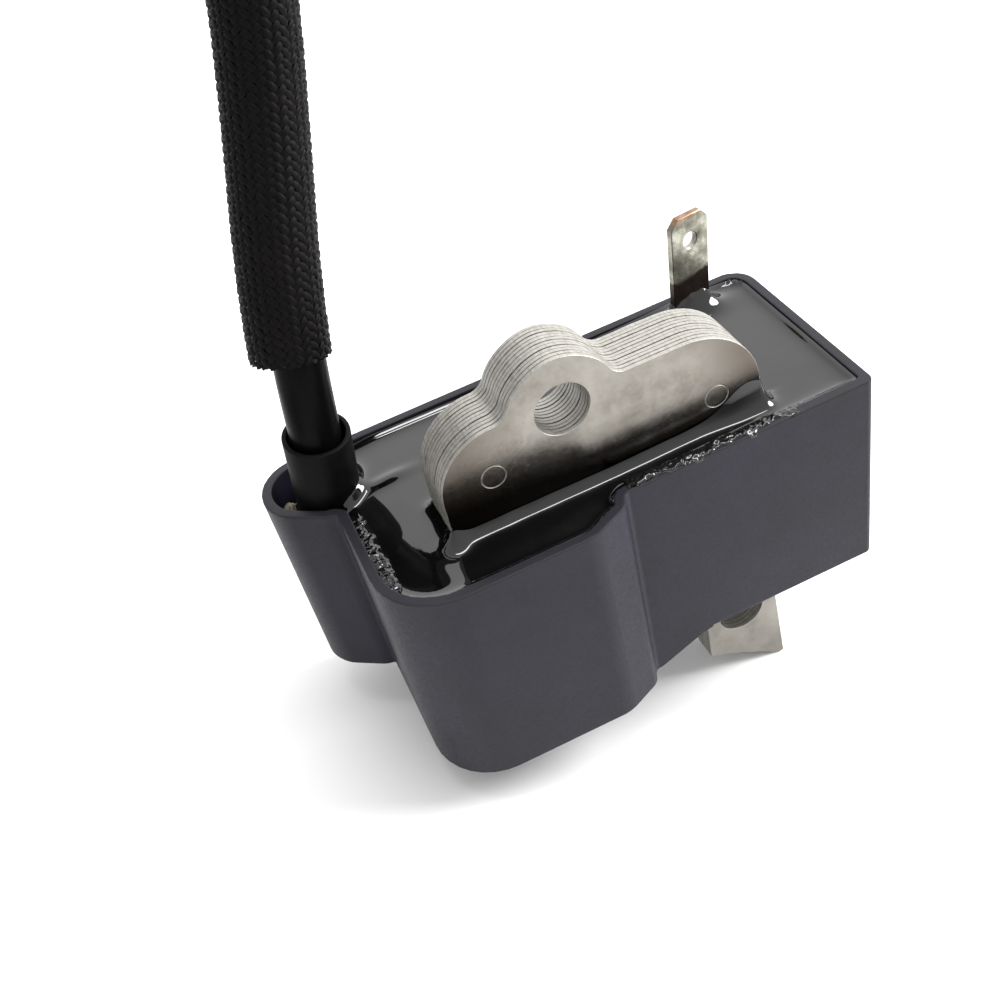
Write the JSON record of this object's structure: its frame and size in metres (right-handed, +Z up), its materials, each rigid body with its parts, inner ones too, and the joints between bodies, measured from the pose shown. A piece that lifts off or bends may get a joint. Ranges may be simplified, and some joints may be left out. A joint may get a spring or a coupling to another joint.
{
  "type": "ignition coil",
  "caption": "Potted transistor ignition coil on a laminated steel core for a small two-stroke engine, with a sleeved high-tension lead and plug boot",
  "frame": {"origin": "centre of the bounding box's base, without the lead and what is on it; the coil stands on the outer tips of its two core legs", "axes": "+Z up, +Y from the front face of the core towards the back of the case, +X along the case towards the stop-switch tab"},
  "size_m": [0.1162, 0.0754, 0.1108],
  "materials": {
    "core_steel": "laminated electrical steel, bare, slightly tarnished",
    "case_plastic": "glass-filled nylon, moulded, fine grain",
    "epoxy": "black potting epoxy, glossy and slightly uneven",
    "copper": "enamelled copper wire",
    "bobbin_plastic": "natural nylon",
    "board": "glass-epoxy board",
    "dark_resin": "moulded resin",
    "tinned_metal": "tinned strip and spring wire, dulled",
    "rubber": "black silicone and EPDM rubber",
    "braid": "black woven glass-fibre braid"
  },
  "bodies": {
    "root": {"lamination_01": "core_steel", "lamination_02": "core_steel", "lamination_03": "core_steel", "lamination_04": "core_steel", "lamination_05": "core_steel", "lamination_06": "core_steel", "lamination_07": "core_steel", "lamination_08": "core_steel", "lamination_09": "core_steel", "lamination_10": "core_steel", "lamination_11": "core_steel", "lamination_12": "core_steel", "core_rivet_left": "core_steel", "core_rivet_right": "core_steel", "case": "case_plastic", "potting_compound": "epoxy", "primary_bobbin": "bobbin_plastic", "primary_winding": "copper", "secondary_bobbin": "bobbin_plastic", "secondary_winding_1": "copper", "secondary_winding_2": "copper", "secondary_winding_3": "copper", "circuit_board": "board", "power_transistor": "dark_resin", "capacitor": "bobbin_plastic", "resistor_upper": "bobbin_plastic", "resistor_lower": "bobbin_plastic", "ground_wire": "copper", "kill_tab": "tinned_metal", "ht_contact_stud": "tinned_metal", "lead_collar": "rubber", "ht_lead": "rubber", "braided_sleeve": "braid", "plug_boot": "rubber", "boot_spring": "tinned_metal"}
  },
  "joints": []
}
